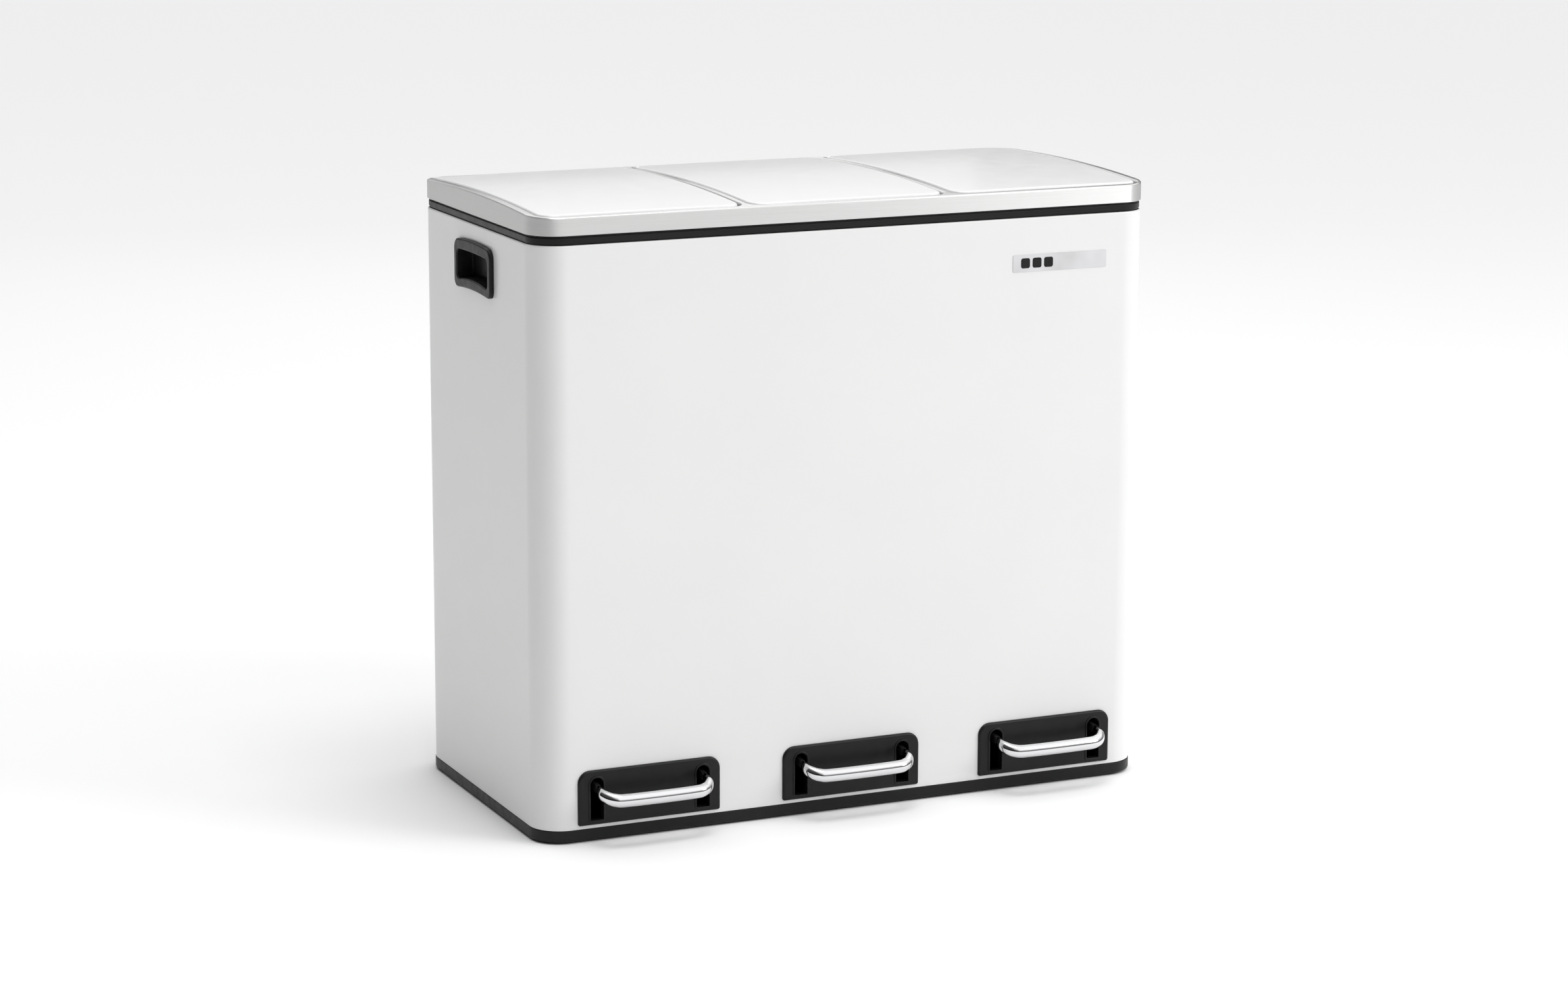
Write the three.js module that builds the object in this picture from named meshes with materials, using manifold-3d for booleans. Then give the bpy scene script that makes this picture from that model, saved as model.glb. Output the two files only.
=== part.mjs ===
// A free-standing recycling bin: one painted steel cabinet, three lift-out buckets side by side,
// and for each bucket a domed lid that its own foot pedal opens through a lever and a push rod.
// Millimetres, +Z up, +X to the right seen from the pedals, which point along -Y.
// The cabinet is drawn about its own middle and moved back by half the pedals' reach,
// so that the origin is on the floor, under the middle of the whole object's box.

import * as THREE from "three";
import { mergeVertices } from "three/addons/utils/BufferGeometryUtils.js";
import Module from "manifold-3d";

const wasm = await Module();
wasm.setup();

// ---------------------------------------------------------------- driving dimensions

const WIDTH = 590; // steel frame, outside
const DEPTH = 294;
const CORNER = 29; // the frame's upright corners
const COLUMNS = [-194, 0, 194]; // the middle of each compartment
const SIDES = ["left", "middle", "right"];

const GAP = 0.3; // between pieces that touch
const FOOT_HEIGHT = 1.5;
const BASE_TOP = 12; // top of the plastic base's visible band
const BODY_TOP = 522; // top of the painted steel wall
const SHELF_TOP = 526; // the collar's shelf, inside
const COLLAR_TOP = 530; // top of the black band under the frame
const FRAME_TOP = 545.5; // the frame's top edge at the front and the back
const CROWN = 4.7; // how much higher the frame and the lids are halfway back

const SHEET = 0.8; // painted wall
const FRAME_SHEET = 1;
const BODY_INSET = 0.5; // the painted wall, in from the frame's face
const COLLAR_INSET = 1.3;

const LID_WIDTH = 185;
const LID_FRONT = -138;
const LID_BACK = 136;
const LID_CORNER = 14;
const LID_PROUD = 1; // above the frame's surface
const LID_SHEET = 1.2;
const LID_SKIRT_BOTTOM = 540.5;
const LID_OPENING_WIDTH = 188;
const LID_OPENING_DEPTH = 279;
const LID_OPENING_CORNER = 12;

const HINGE_Y = 124;
const HINGE_Z = 538.5;
const PIN_RADIUS = 2;
const PIN_HALF = 77;
const RUNNING = 0.2; // radial clearance of a pin in its hole
const LID_ANGLE = (72 * Math.PI) / 180; // how far a lid opens
const CRANK_REACH = 12; // from the hinge to the push rod, measured flat

const DECK_BOTTOM = 64;
const DECK_TOP = 66.5;
const BUCKET_WIDTH = 170;
const BUCKET_FRONT = -130;
const BUCKET_BACK = 96;
const BUCKET_TOP = 519;
const BUCKET_WALL = 2;
const BUCKET_TAPER = 0.93; // the bottom's size over the top's

const PLATE_WIDTH = 133.5;
const PLATE_BOTTOM = 15.4;
const PLATE_TOP = 64.2;
const PLATE_PROUD = 2.8;
const SLOT_X = 49.8; // each arm slot, from the plate's middle
const SLOT_WIDTH = 12;
const SLOT_BOTTOM = 20;
const SLOT_TOP = 57.7;
const SLOT_LIP = 1.8;

const PIVOT_Y = -20; // the pedal lever's axle
const PIVOT_Z = 42;
const AXLE_RADIUS = 3;
const ARM_THICK = 4;
const ARM_HEIGHT = 9;
const ARM_Z = 50; // an arm's middle where it passes its slot
const BAR_Y = -173; // the tread bar's middle line
const BAR_Z = 41.8;
const BAR_DEEP = 12;
const BAR_TALL = 12;
const BAR_END = -153; // where it meets the lever's arms
const ROD_RADIUS = 3;

const GRIP_Z = 483.5; // middle of the side grips
const GRIP_LENGTH = 90;
const GRIP_HEIGHT = 43;
const GRIP_PROUD = 4;
const GRIP_ARCH = 2.5;
const GRIP_DEPTH = 11.5; // the finger hollow, in from the wall's face

const FRONT_FACE = -(DEPTH / 2 - BODY_INSET);
const REACH = -(BAR_Y - BAR_DEEP / 2) - DEPTH / 2; // of the pedals, past the frame

// ---------------------------------------------------------------- materials

const paint = (color, roughness, metalness = 0) =>
  new THREE.MeshStandardMaterial({ color, roughness, metalness });
const whitePaint = paint(0xf2f2f1, 0.35);
const brushedSteel = paint(0xb9b9b8, 0.32, 1);
const blackPlastic = paint(0x1f1f20, 0.5);
const bucketPlastic = paint(0x2a2a2c, 0.6);
const chrome = paint(0xe6e6e8, 0.08, 1);
const zincSteel = paint(0x8d9094, 0.4, 1);
const blackSteel = paint(0x26272a, 0.45, 0.6);
const rubber = paint(0x141414, 0.9);
const badgePlastic = paint(0xd9dadb, 0.4);

// ---------------------------------------------------------------- solids and how they are joined

function solid(geometry) {
  const bare = geometry.index ? geometry.toNonIndexed() : geometry.clone();
  for (const name of Object.keys(bare.attributes)) {
    if (name !== "position") bare.deleteAttribute(name);
  }
  const merged = mergeVertices(bare, 1e-4);
  const vertProperties = merged.attributes.position.array;
  const triVerts = new Uint32Array(merged.index.array);
  return new wasm.Manifold(new wasm.Mesh({ numProp: 3, vertProperties, triVerts }));
}

const join = (first, ...others) => others.reduce((all, next) => all.add(next), first);
const cut = (body, ...tools) => tools.reduce((rest, tool) => rest.subtract(tool), body);
const common = (a, b) => a.intersect(b);

function geometryOf(body) {
  const { numProp, numVert, vertProperties, triVerts } = body.getMesh();
  const position = new Float32Array(numVert * 3);
  for (let i = 0; i < numVert; i++) {
    position.set(vertProperties.subarray(i * numProp, i * numProp + 3), i * 3);
  }
  const geometry = new THREE.BufferGeometry();
  geometry.setAttribute("position", new THREE.BufferAttribute(position, 3));
  geometry.setIndex(new THREE.BufferAttribute(triVerts, 1));
  geometry.computeVertexNormals();
  return geometry;
}

function part(name, body, material) {
  const mesh = new THREE.Mesh(geometryOf(body), material);
  mesh.name = name;
  return mesh;
}

// ---------------------------------------------------------------- outlines and prisms

// A rectangle from its low to its high corner, with its own radius at the top and at the bottom.
function roundedRect(x0, y0, x1, y1, radius, bottomRadius = radius) {
  const outline = new THREE.Shape();
  const quarter = Math.PI / 2;
  outline.moveTo(x0 + bottomRadius, y0);
  outline.lineTo(x1 - bottomRadius, y0);
  outline.absarc(x1 - bottomRadius, y0 + bottomRadius, bottomRadius, -quarter, 0);
  outline.lineTo(x1, y1 - radius);
  outline.absarc(x1 - radius, y1 - radius, radius, 0, quarter);
  outline.lineTo(x0 + radius, y1);
  outline.absarc(x0 + radius, y1 - radius, radius, quarter, 2 * quarter);
  outline.lineTo(x0, y0 + bottomRadius);
  outline.absarc(x0 + bottomRadius, y0 + bottomRadius, bottomRadius, 2 * quarter, 3 * quarter);
  return outline;
}

const polygon = (points) => new THREE.Shape(points.map(([x, y]) => new THREE.Vector2(x, y)));

function extrude(outline, length, segments) {
  const options = { depth: length, bevelEnabled: false, curveSegments: segments };
  return new THREE.ExtrudeGeometry(outline, options);
}

// An outline drawn in X and Y, standing from z0 to z1.
function standing(outline, z0, z1, segments = 2) {
  return solid(extrude(outline, z1 - z0, segments).translate(0, 0, z0));
}

// An outline drawn in Y and Z, lying along X from x0 to x1.
function alongX(outline, x0, x1, segments = 2) {
  const turn = new THREE.Matrix4().set(0, 0, 1, x0, 1, 0, 0, 0, 0, 1, 0, 0, 0, 0, 0, 1);
  return solid(extrude(outline, x1 - x0, segments).applyMatrix4(turn));
}

// An outline drawn in X and Z, reaching along Y from y0 to y1.
function alongY(outline, y0, y1, segments = 2) {
  const turn = new THREE.Matrix4().set(1, 0, 0, 0, 0, 0, -1, y1, 0, 1, 0, 0, 0, 0, 0, 1);
  return solid(extrude(outline, y1 - y0, segments).applyMatrix4(turn));
}

function box(x0, x1, y0, y1, z0, z1) {
  const block = new THREE.BoxGeometry(x1 - x0, y1 - y0, z1 - z0);
  return solid(block.translate((x0 + x1) / 2, (y0 + y1) / 2, (z0 + z1) / 2));
}

function cylinderX(radius, x0, x1, y, z, sides = 12) {
  const round = new THREE.CylinderGeometry(radius, radius, x1 - x0, sides);
  return solid(round.rotateZ(-Math.PI / 2).translate((x0 + x1) / 2, y, z));
}

function cylinderZ(radius, z0, z1, x, y, sides = 12, topRadius = radius) {
  const round = new THREE.CylinderGeometry(topRadius, radius, z1 - z0, sides);
  return solid(round.rotateX(Math.PI / 2).translate(x, y, (z0 + z1) / 2));
}

// The cabinet's plan, moved in by `inset` all round.
function plan(inset) {
  const x = WIDTH / 2 - inset;
  const y = DEPTH / 2 - inset;
  return roundedRect(-x, -y, x, y, Math.max(CORNER - inset, 2));
}

function ring(inset, thick, z0, z1) {
  return cut(standing(plan(inset), z0, z1, 3), standing(plan(inset + thick), z0 - 1, z1 + 1, 3));
}

// Everything under the crowned top surface, or under a surface parallel to it, `above` it.
function underCrown(above, halfWidth = WIDTH / 2 + 5) {
  const half = DEPTH / 2;
  const bend = (half * half + CROWN * CROWN) / (2 * CROWN);
  const centreZ = FRAME_TOP + CROWN - bend;
  const radius = bend + above;
  const overhang = 6;
  const turn = Math.asin((half + overhang) / radius);
  const outline = new THREE.Shape();
  outline.moveTo(-half - overhang, COLLAR_TOP - 40);
  outline.lineTo(half + overhang, COLLAR_TOP - 40);
  outline.absarc(0, centreZ, radius, Math.PI / 2 - turn, Math.PI / 2 + turn);
  outline.closePath();
  return alongX(outline, -halfWidth, halfWidth, 5);
}

// ---------------------------------------------------------------- cabinet

// The painted wall: a sheet tube with a window behind each pedal plate and each side grip.
function bodyShell() {
  const wall = ring(BODY_INSET, SHEET, BASE_TOP + GAP, BODY_TOP - GAP);
  const windows = COLUMNS.map((x) => pedalWindow(x, 0));
  const grips = [-1, 1].map((side) => {
    const outline = gripOutline(GRIP_LENGTH - 7, GRIP_HEIGHT - 7, 6);
    return alongX(outline, side * WIDTH / 2 - 5, side * WIDTH / 2 + 5);
  });
  return cut(wall, ...windows, ...grips);
}

function pedalWindow(x, clearance) {
  const half = PLATE_WIDTH / 2 - 7 - clearance;
  const low = PLATE_BOTTOM + 3.5 + clearance;
  const high = PLATE_TOP - 4 - clearance;
  const outline = roundedRect(x - half, low, x + half, high, 6, 1);
  return alongY(outline, FRONT_FACE - 5, FRONT_FACE + 5);
}

// The plastic base: a skirt and floor, a lip that locates the wall, and two posts for each axle.
function baseTray() {
  const floor = standing(plan(0), FOOT_HEIGHT, FOOT_HEIGHT + 3, 3);
  const skirt = ring(0, 4.5, FOOT_HEIGHT, BASE_TOP);
  const lip = ring(BODY_INSET + SHEET + GAP, 2.5, FOOT_HEIGHT + 1, BASE_TOP + 5);
  let tray = join(floor, skirt, lip);
  for (const x of COLUMNS) {
    for (const side of [-1, 1]) {
      const middle = x + side * (SLOT_X + 9);
      tray = join(tray, box(middle - 4, middle + 4, PIVOT_Y - 8, PIVOT_Y + 8, FOOT_HEIGHT + 1, PIVOT_Z + 7));
    }
    tray = cut(tray, cylinderX(AXLE_RADIUS + RUNNING, x - 80, x + 80, PIVOT_Y, PIVOT_Z));
  }
  return cut(tray, ...screwPlaces().map(([x, y]) => cylinderZ(2.4, 0, 10, x, y)));
}

const screwPlaces = () => [-97, 97].flatMap((x) => [-90, 60].map((y) => [x, y]));
const footPlaces = () => [-255, 255].flatMap((x) => [-110, 110].map((y) => [x, y]));

// The floor that the buckets stand on, on hollow posts that the base screws run up into.
function bucketDeck() {
  const inset = BODY_INSET + SHEET + 2;
  let deck = standing(plan(inset), DECK_BOTTOM, DECK_TOP, 3);
  for (const [x, y] of screwPlaces()) {
    deck = join(deck, cylinderZ(7, FOOT_HEIGHT + 3 + GAP, DECK_BOTTOM + 1, x, y, 12));
    deck = cut(deck, cylinderZ(2.2, 0, 30, x, y, 12));
  }
  const rails = [-285, 285].map((x) => box(x - 2, x + 2, -100, 100, FOOT_HEIGHT + 3 + GAP, DECK_BOTTOM + 1));
  const rodHoles = COLUMNS.map((x) => rodSlot(x, DECK_BOTTOM - 5, DECK_TOP + 5));
  return cut(join(deck, ...rails), ...rodHoles);
}

const ROD_Y = HINGE_Y - CRANK_REACH;
const ROD_X = 6; // beside the crank
const rodSlot = (x, z0, z1) => cylinderZ(ROD_RADIUS + 1, z0, z1, x + ROD_X, ROD_Y);

// The black ring that closes the wall's top: the band that shows, a shelf with an opening for each
// bucket, the spigots into the wall and the frame, the ribs under the frame's two bars, and hinge lugs.
function collar() {
  const band = ring(COLLAR_INSET, 3.2, BODY_TOP, COLLAR_TOP - GAP);
  const downSpigot = ring(BODY_INSET + SHEET + GAP, 2.2, BODY_TOP - 11, BODY_TOP + 3);
  const upSpigot = ring(FRAME_SHEET + GAP, 3, COLLAR_TOP - 3, FRAME_TOP - FRAME_SHEET - GAP);
  const shelf = standing(plan(COLLAR_INSET + 1), BODY_TOP, SHELF_TOP, 3);
  const ribs = [-97, 97].map((x) => box(x - 2.2, x + 2.2, -144, 144, BODY_TOP + 1, FRAME_TOP + CROWN));
  const topped = common(join(ribs[0], ribs[1]), underCrown(-FRAME_SHEET - GAP));
  const swings = COLUMNS.map((x) => lidOpening(x, 0.6));
  let all = cut(join(band, downSpigot, upSpigot, shelf, topped), ...swings);
  for (const x of COLUMNS) {
    const half = BUCKET_WIDTH / 2 + 3;
    const opening = roundedRect(x - half, BUCKET_FRONT - 3, x + half, BUCKET_BACK + 3, 18);
    all = cut(all, standing(opening, 515, 528));
    for (const side of [-1, 1]) all = join(all, hingeLug(x + side * 72));
    all = cut(all, box(x - 4, x + ROD_X + 5, ROD_Y - 7, ROD_Y + 7, 515, 530));
    all = cut(all, cylinderX(PIN_RADIUS + RUNNING, x - 90, x + 90, HINGE_Y, HINGE_Z, 12));
  }
  return all;
}

// A post that leans to the front of the hinge line, clear of the lid's back edge as it swings down.
function hingeLug(x, half = 3, head = 5) {
  const post = box(x - half, x + half, HINGE_Y - 8, HINGE_Y + 2, BODY_TOP + 1, HINGE_Z);
  return join(post, cylinderX(head, x - half, x + half, HINGE_Y, HINGE_Z));
}

// The steel frame: a crowned top with three openings, turned down all round into the side band.
function topFrame() {
  const outside = common(standing(plan(0), COLLAR_TOP, FRAME_TOP + 20, 3), underCrown(0));
  const core = standing(plan(FRAME_SHEET), COLLAR_TOP - 5, FRAME_TOP + 20, 3);
  const inside = common(core, underCrown(-FRAME_SHEET));
  return cut(outside, inside, ...COLUMNS.map((x) => lidOpening(x)));
}

// What each lid swings in, from the collar's shelf up.
function lidOpening(x, extra = 0) {
  const halfX = LID_OPENING_WIDTH / 2 + extra;
  const halfY = LID_OPENING_DEPTH / 2 + extra;
  const outline = roundedRect(x - halfX, -halfY, x + halfX, halfY, LID_OPENING_CORNER);
  return standing(outline, SHELF_TOP, FRAME_TOP + 20);
}

// ---------------------------------------------------------------- side grips, badge, feet, screws

// The grip's outline in Y and Z: straight ends, with its top and bottom edges arched the same way.
function gripOutline(length, height, radius, arch = GRIP_ARCH) {
  const half = length / 2;
  const low = GRIP_Z - height / 2;
  const high = GRIP_Z + height / 2;
  const outline = new THREE.Shape();
  outline.moveTo(-half + radius, low);
  outline.quadraticCurveTo(0, low + 2 * arch, half - radius, low);
  outline.quadraticCurveTo(half, low, half, low + radius);
  outline.lineTo(half, high - radius);
  outline.quadraticCurveTo(half, high, half - radius, high);
  outline.quadraticCurveTo(0, high + 2 * arch, -half + radius, high);
  outline.quadraticCurveTo(-half, high, -half, high - radius);
  outline.lineTo(-half, low + radius);
  outline.quadraticCurveTo(-half, low, -half + radius, low);
  return outline;
}

// Made for the left wall; the right one is its mirror image.
function sideGrip(side) {
  const face = WIDTH / 2 - BODY_INSET;
  const span = (inner, outer) => (side < 0 ? [-outer, -inner] : [inner, outer]);
  const flange = alongX(gripOutline(GRIP_LENGTH, GRIP_HEIGHT, 7), ...span(face + 0.1, face + GRIP_PROUD), 6);
  const cupOutline = gripOutline(GRIP_LENGTH - 9, GRIP_HEIGHT - 9, 5);
  const cup = alongX(cupOutline, ...span(face - GRIP_DEPTH - 1.5, face + 1), 6);
  const hollowOutline = gripOutline(GRIP_LENGTH - 18, GRIP_HEIGHT - 17, 4);
  const hollow = alongX(hollowOutline, ...span(face - GRIP_DEPTH, face + 9), 6);
  return cut(join(flange, cup), hollow);
}

function badge() {
  const outline = roundedRect(155, 473.5, 249, 489, 1.5);
  return alongY(outline, FRONT_FACE - 0.5, FRONT_FACE - 0.05, 2);
}

const footPad = ([x, y]) => cylinderZ(12, 0, FOOT_HEIGHT, x, y, 16);

// A pan-head screw from below: head, then shank up into the deck's post.
function baseScrew([x, y]) {
  const head = cylinderZ(3.5, 0.4, FOOT_HEIGHT - 0.05, x, y);
  return join(head, cylinderZ(1.9, FOOT_HEIGHT - 0.2, 26, x, y));
}

// ---------------------------------------------------------------- one compartment, about x = 0

// Painted steel lid: the crowned panel with its edge turned down.
function lidShell() {
  const half = LID_WIDTH / 2;
  const outline = roundedRect(-half, LID_FRONT, half, LID_BACK, LID_CORNER);
  const outer = standing(outline, LID_SKIRT_BOTTOM, FRAME_TOP + 20);
  const inner = standing(lidPlan(LID_SHEET), LID_SKIRT_BOTTOM - 5, FRAME_TOP + 20);
  const whole = common(outer, underCrown(LID_PROUD, 200));
  return cut(whole, common(inner, underCrown(LID_PROUD - LID_SHEET, 200)));
}

function lidPlan(inset, back = LID_BACK - inset) {
  const half = LID_WIDTH / 2 - inset;
  return roundedRect(-half, LID_FRONT + inset, half, back, LID_CORNER - inset);
}

// The lid's plastic lining: a pan with two stiffening ribs, two hinge arms and the slotted crank.
function lidLiner() {
  const inset = LID_SHEET + GAP;
  const bottom = HINGE_Z - 4.5;
  const panBack = 104;
  const ceiling = LID_PROUD - LID_SHEET - GAP;
  const pan = common(standing(lidPlan(inset, panBack), bottom, FRAME_TOP + 20), underCrown(ceiling, 200));
  const hollow = common(
    standing(lidPlan(inset + 2.5, panBack - 2.5), bottom - 5, FRAME_TOP + 20),
    underCrown(ceiling - 2.2, 200),
  );
  const ribs = [-40, 40].map((x) =>
    common(
      box(x - 1.2, x + 1.2, LID_FRONT + 4, panBack - 1, bottom + 3, FRAME_TOP + 9),
      underCrown(ceiling, 200),
    ),
  );
  let liner = join(cut(pan, hollow), ...ribs);
  for (const side of [-1, 1]) {
    const x = side * 60;
    const arm = box(x - 7, x + 7, panBack - 1.5, HINGE_Y, HINGE_Z - 3, HINGE_Z + 4);
    liner = join(liner, arm, cylinderX(4.5, x - 7, x + 7, HINGE_Y, HINGE_Z));
  }
  liner = join(liner, crank(panBack));
  return cut(liner, cylinderX(PIN_RADIUS + 0.1, -90, 90, HINGE_Y, HINGE_Z), crankSlot());
}

// The crank is a fin in the lid's middle that reaches down and forward from the hinge.
function crank(panBack) {
  const tip = -LID_ANGLE / 2;
  const along = (reach, off) => [
    HINGE_Y - reach * Math.cos(tip) - off * Math.sin(tip),
    HINGE_Z + reach * Math.sin(tip) - off * Math.cos(tip),
  ];
  const arm = polygon([along(0, 5.5), along(18.5, 5.5), along(18.5, -5.5), along(0, -5.5)].reverse());
  const web = box(-2, 2, panBack - 1.5, HINGE_Y, HINGE_Z - 1, HINGE_Z + 5);
  return join(alongX(arm, -2, 2), web, cylinderX(5.5, -6, 3, HINGE_Y, HINGE_Z));
}

// The slot lets the rod's cross pin slide along the crank as the lid turns.
function crankSlot() {
  const tip = -LID_ANGLE / 2;
  const ends = [CRANK_REACH - 0.6, CRANK_REACH / Math.cos(tip) + 0.6];
  const places = ends.map((reach) => [HINGE_Y - reach * Math.cos(tip), HINGE_Z + reach * Math.sin(tip)]);
  return hullX(places, 3.3);
}

// A slot across X with round ends at two places given in Y and Z.
function hullX([[y0, z0], [y1, z1]], radius) {
  const tilt = Math.atan2(z1 - z0, y1 - y0);
  const [sy, sz] = [-Math.sin(tilt) * radius, Math.cos(tilt) * radius];
  const bridge = polygon([
    [y0 - sy, z0 - sz],
    [y1 - sy, z1 - sz],
    [y1 + sy, z1 + sz],
    [y0 + sy, z0 + sz],
  ]);
  const ends = [cylinderX(radius, -2.5, 2.5, y0, z0), cylinderX(radius, -2.5, 2.5, y1, z1)];
  return join(alongX(bridge, -2.5, 2.5), ...ends);
}

const lidPin = () => cylinderX(PIN_RADIUS, -PIN_HALF, PIN_HALF, HINGE_Y, HINGE_Z);

// A soft-close damper that grips the hinge pin from a foot on the collar's shelf.
function lidDamper() {
  const x = 32;
  const foot = box(x - 12, x + 12, HINGE_Y - 8, HINGE_Y + 2, SHELF_TOP + GAP, HINGE_Z);
  const drum = cylinderX(6, x - 9, x + 9, HINGE_Y, HINGE_Z, 16);
  return cut(join(foot, drum), cylinderX(PIN_RADIUS + RUNNING, x - 20, x + 20, HINGE_Y, HINGE_Z));
}

const lidBumper = (side) => cylinderZ(4, SHELF_TOP + 0.05, HINGE_Z - 4.9, side * 70, LID_FRONT + 0.5, 12, 3);

// The rod's cross pin, in the crank's slot with the lid shut, is this much under the hinge.
const ROD_DROP = CRANK_REACH * Math.tan(LID_ANGLE / 2);

// A bent rod: a long straight stretch with its top turned across into the crank's slot.
function pushRod() {
  const tailTop = PIVOT_Z + 1;
  const crossZ = HINGE_Z - ROD_DROP;
  const upright = cylinderZ(ROD_RADIUS, tailTop + 2.5, crossZ + 2.5, ROD_X, ROD_Y);
  const nose = cylinderZ(1.5, tailTop + 0.9, tailTop + 2.6, ROD_X, ROD_Y, 12, ROD_RADIUS);
  const cross = cylinderX(2.5, -4, ROD_X, ROD_Y, crossZ);
  return join(upright, nose, cross);
}

// A channel that guides the rod up the back wall and keeps it out of the bucket's way.
function rodGuide() {
  const [x0, x1] = [ROD_X - 9, ROD_X + 9];
  const [y0, y1] = [ROD_Y - 7, DEPTH / 2 - BODY_INSET - SHEET - GAP];
  const [z0, z1] = [DECK_TOP + GAP, BODY_TOP - 19];
  const channel = cut(box(x0, x1, y0, y1, z0, z1), box(x0 + 2, x1 - 2, y0 + 2, y1 + 1, z0 - 1, z1 + 1));
  const collars = [z0 + 60, z1 - 60].map((z) => box(x0 + 1, x1 - 1, y0 + 1, ROD_Y + 7, z, z + 12));
  return cut(join(channel, ...collars), cylinderZ(ROD_RADIUS + 0.5, z0 - 1, z1 + 1, ROD_X, ROD_Y));
}

// A bucket that narrows downwards, with a rolled rim and a hand hole at the front and the back.
function bucket() {
  const middleY = (BUCKET_FRONT + BUCKET_BACK) / 2;
  const halfY = (BUCKET_BACK - BUCKET_FRONT) / 2;
  const bottom = DECK_TOP + GAP;
  const tapered = (inset, z0, z1) => {
    const half = BUCKET_WIDTH / 2 - inset;
    const outline = roundedRect(-half, -halfY + inset, half, halfY - inset, 16 - inset);
    const geometry = extrude(outline, z1 - z0, 2).translate(0, 0, z0);
    const place = geometry.attributes.position;
    for (let i = 0; i < place.count; i++) {
      const rise = (place.getZ(i) - bottom) / (BUCKET_TOP - bottom);
      const scale = BUCKET_TAPER + (1 - BUCKET_TAPER) * rise;
      place.setXY(i, place.getX(i) * scale, place.getY(i) * scale);
    }
    return solid(geometry.translate(0, middleY, 0));
  };
  const rimInset = 3;
  const inside = tapered(rimInset + BUCKET_WALL, bottom + 2.5, BUCKET_TOP + 5);
  const wall = cut(tapered(rimInset, bottom, BUCKET_TOP), inside);
  const rimInside = tapered(rimInset + 1, BUCKET_TOP - 9, BUCKET_TOP + 5);
  const rim = cut(tapered(0, BUCKET_TOP - 7, BUCKET_TOP), rimInside);
  const handHole = roundedRect(-38, BUCKET_TOP - 34, 38, BUCKET_TOP - 12, 4);
  const hand = alongY(handHole, BUCKET_FRONT - 5, BUCKET_BACK + 5);
  return cut(join(wall, rim), hand);
}

// ---------------------------------------------------------------- one pedal, about x = 0

function slotOutline(x, extra) {
  const half = SLOT_WIDTH / 2 + extra;
  return roundedRect(x - half, SLOT_BOTTOM - extra, x + half, SLOT_TOP + extra, half - 0.01, 0.6);
}

// The black plate round the two arm slots, with a raised lip round each slot and a spigot behind.
function pedalPlate() {
  const half = PLATE_WIDTH / 2;
  const face = roundedRect(-half, PLATE_BOTTOM, half, PLATE_TOP, 11, 2);
  const front = FRONT_FACE - PLATE_PROUD;
  const spigot = common(pedalWindow(0, GAP), box(-80, 80, FRONT_FACE - 0.5, FRONT_FACE + 4, 0, 100));
  let plate = join(alongY(face, front, FRONT_FACE - 0.1, 3), spigot);
  for (const x of [-SLOT_X, SLOT_X]) {
    plate = join(plate, alongY(slotOutline(x, SLOT_LIP), front - 0.8, front + 0.5));
    plate = cut(plate, alongY(slotOutline(x, 0), FRONT_FACE - 9, FRONT_FACE + 9));
  }
  return plate;
}

// A bar that follows a path, with an oval section given as half width and half height at each point.
// The path runs level or nearly so, and the section stands upright on it.
function ovalBar(points, sections, steps, sides) {
  const curve = new THREE.CatmullRomCurve3(points, false, "centripetal");
  const sizes = new THREE.CatmullRomCurve3(sections, false, "centripetal");
  const up = new THREE.Vector3(0, 0, 1);
  const position = [];
  const index = [];
  for (let step = 0; step <= steps; step++) {
    const place = curve.getPoint(step / steps);
    const along = curve.getTangent(step / steps).setZ(0).normalize();
    const across = new THREE.Vector3().crossVectors(up, along);
    const size = sizes.getPoint(step / steps);
    for (let side = 0; side < sides; side++) {
      const turn = (2 * Math.PI * side) / sides;
      const point = place.clone().addScaledVector(across, size.x * Math.cos(turn));
      position.push(...point.addScaledVector(up, size.y * Math.sin(turn)).toArray());
      const [a, b] = [step * sides + side, step * sides + ((side + 1) % sides)];
      if (step < steps) index.push(a, b, b + sides, a, b + sides, a + sides);
    }
  }
  const last = steps * sides;
  for (let side = 1; side < sides - 1; side++) {
    index.push(0, side + 1, side, last, last + side, last + side + 1);
  }
  const geometry = new THREE.BufferGeometry();
  geometry.setAttribute("position", new THREE.Float32BufferAttribute(position, 3));
  return solid(geometry.setIndex(index));
}

// The bright tread bar: bent into a U whose ends meet the lever's arms outside the two slots.
function pedalBar() {
  const half = [
    [SLOT_X, BAR_END, ARM_Z - 2.5, 2.2, 4.4],
    [SLOT_X, BAR_END - 5, ARM_Z - 3.6, 3.4, 5.2],
    [SLOT_X - 1.5, BAR_Y + 9, BAR_Z + 2.8, 5, 5.8],
    [SLOT_X - 8.5, BAR_Y + 2.2, BAR_Z + 0.7, BAR_DEEP / 2, BAR_TALL / 2],
    [SLOT_X - 22, BAR_Y, BAR_Z, BAR_DEEP / 2, BAR_TALL / 2],
  ];
  const whole = [...half, ...half.map(([x, ...rest]) => [-x, ...rest]).reverse()];
  const path = whole.map(([x, y, z]) => new THREE.Vector3(x, y, z));
  const sections = whole.map(([, , , wide, tall]) => new THREE.Vector3(wide, tall, 0));
  return ovalBar(path, sections, 22, 10);
}

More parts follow.
